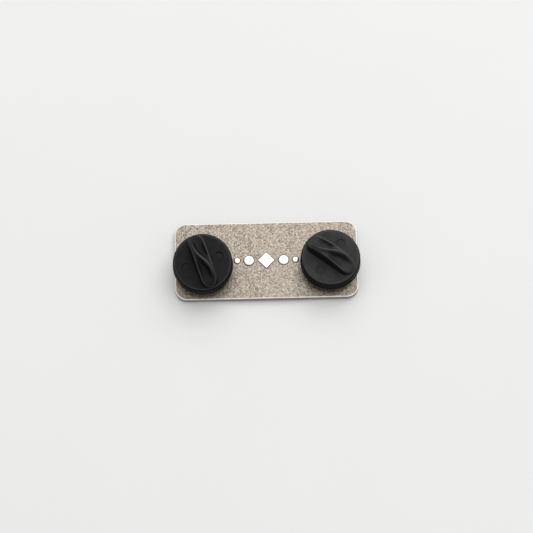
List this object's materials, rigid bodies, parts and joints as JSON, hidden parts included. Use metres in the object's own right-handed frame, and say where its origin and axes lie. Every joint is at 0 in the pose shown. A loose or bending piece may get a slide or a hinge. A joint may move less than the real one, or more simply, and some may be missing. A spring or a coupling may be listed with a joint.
{
  "type": "enamel pin",
  "caption": "Rounded-rectangle metal lapel pin: hard-enamel front picture, soldered tack posts on the sand-blasted back, and black rubber clutches pushed onto the posts.",
  "frame": {"origin": "middle of the plate's long axis on the surface that the front face lies on, under the centre of the whole pin's bounding box", "axes": "+X along the badge's long side, +Y across it, +Z out of the back of the plate along the posts, from the enamelled front towards the clutches"},
  "size_m": [0.0317, 0.0136, 0.0094],
  "materials": {
    "nickel_plate": "fine sand-blasted nickel plating with burnished edges and polished raised ornament",
    "post_nickel": "drawn and plated nickel wire",
    "solder": "dull solder",
    "black_rubber": "moulded matt-satin black PVC rubber",
    "yellow_enamel": "hard enamel ground flush and polished",
    "orange_enamel": "hard enamel ground flush and polished",
    "rose_enamel": "hard enamel ground flush and polished",
    "indigo_enamel": "hard enamel ground flush and polished",
    "teal_enamel": "hard enamel ground flush and polished",
    "navy_enamel": "hard enamel ground flush and polished"
  },
  "bodies": {
    "badge": {"base_plate": "nickel_plate", "enamel_sun": "yellow_enamel", "enamel_inner_glow": "orange_enamel", "enamel_outer_glow": "rose_enamel", "enamel_sky_left": "indigo_enamel", "enamel_sky_right": "indigo_enamel", "enamel_sea_upper": "teal_enamel", "enamel_sea_lower": "navy_enamel", "left_post": "post_nickel", "left_post_solder": "solder", "right_post": "post_nickel", "right_post_solder": "solder"},
    "left_rubber_clutch": {"left_clutch": "black_rubber"},
    "right_rubber_clutch": {"right_clutch": "black_rubber"}
  },
  "joints": [
    {"name": "left_clutch_pull", "type": "slide", "parent": "badge", "child": "left_rubber_clutch", "axis": [0, -0.1132, 0.9936], "range_m": [0, 0.009]},
    {"name": "right_clutch_pull", "type": "slide", "parent": "badge", "child": "right_rubber_clutch", "axis": [0, 0, 1], "range_m": [0, 0.009]}
  ]
}
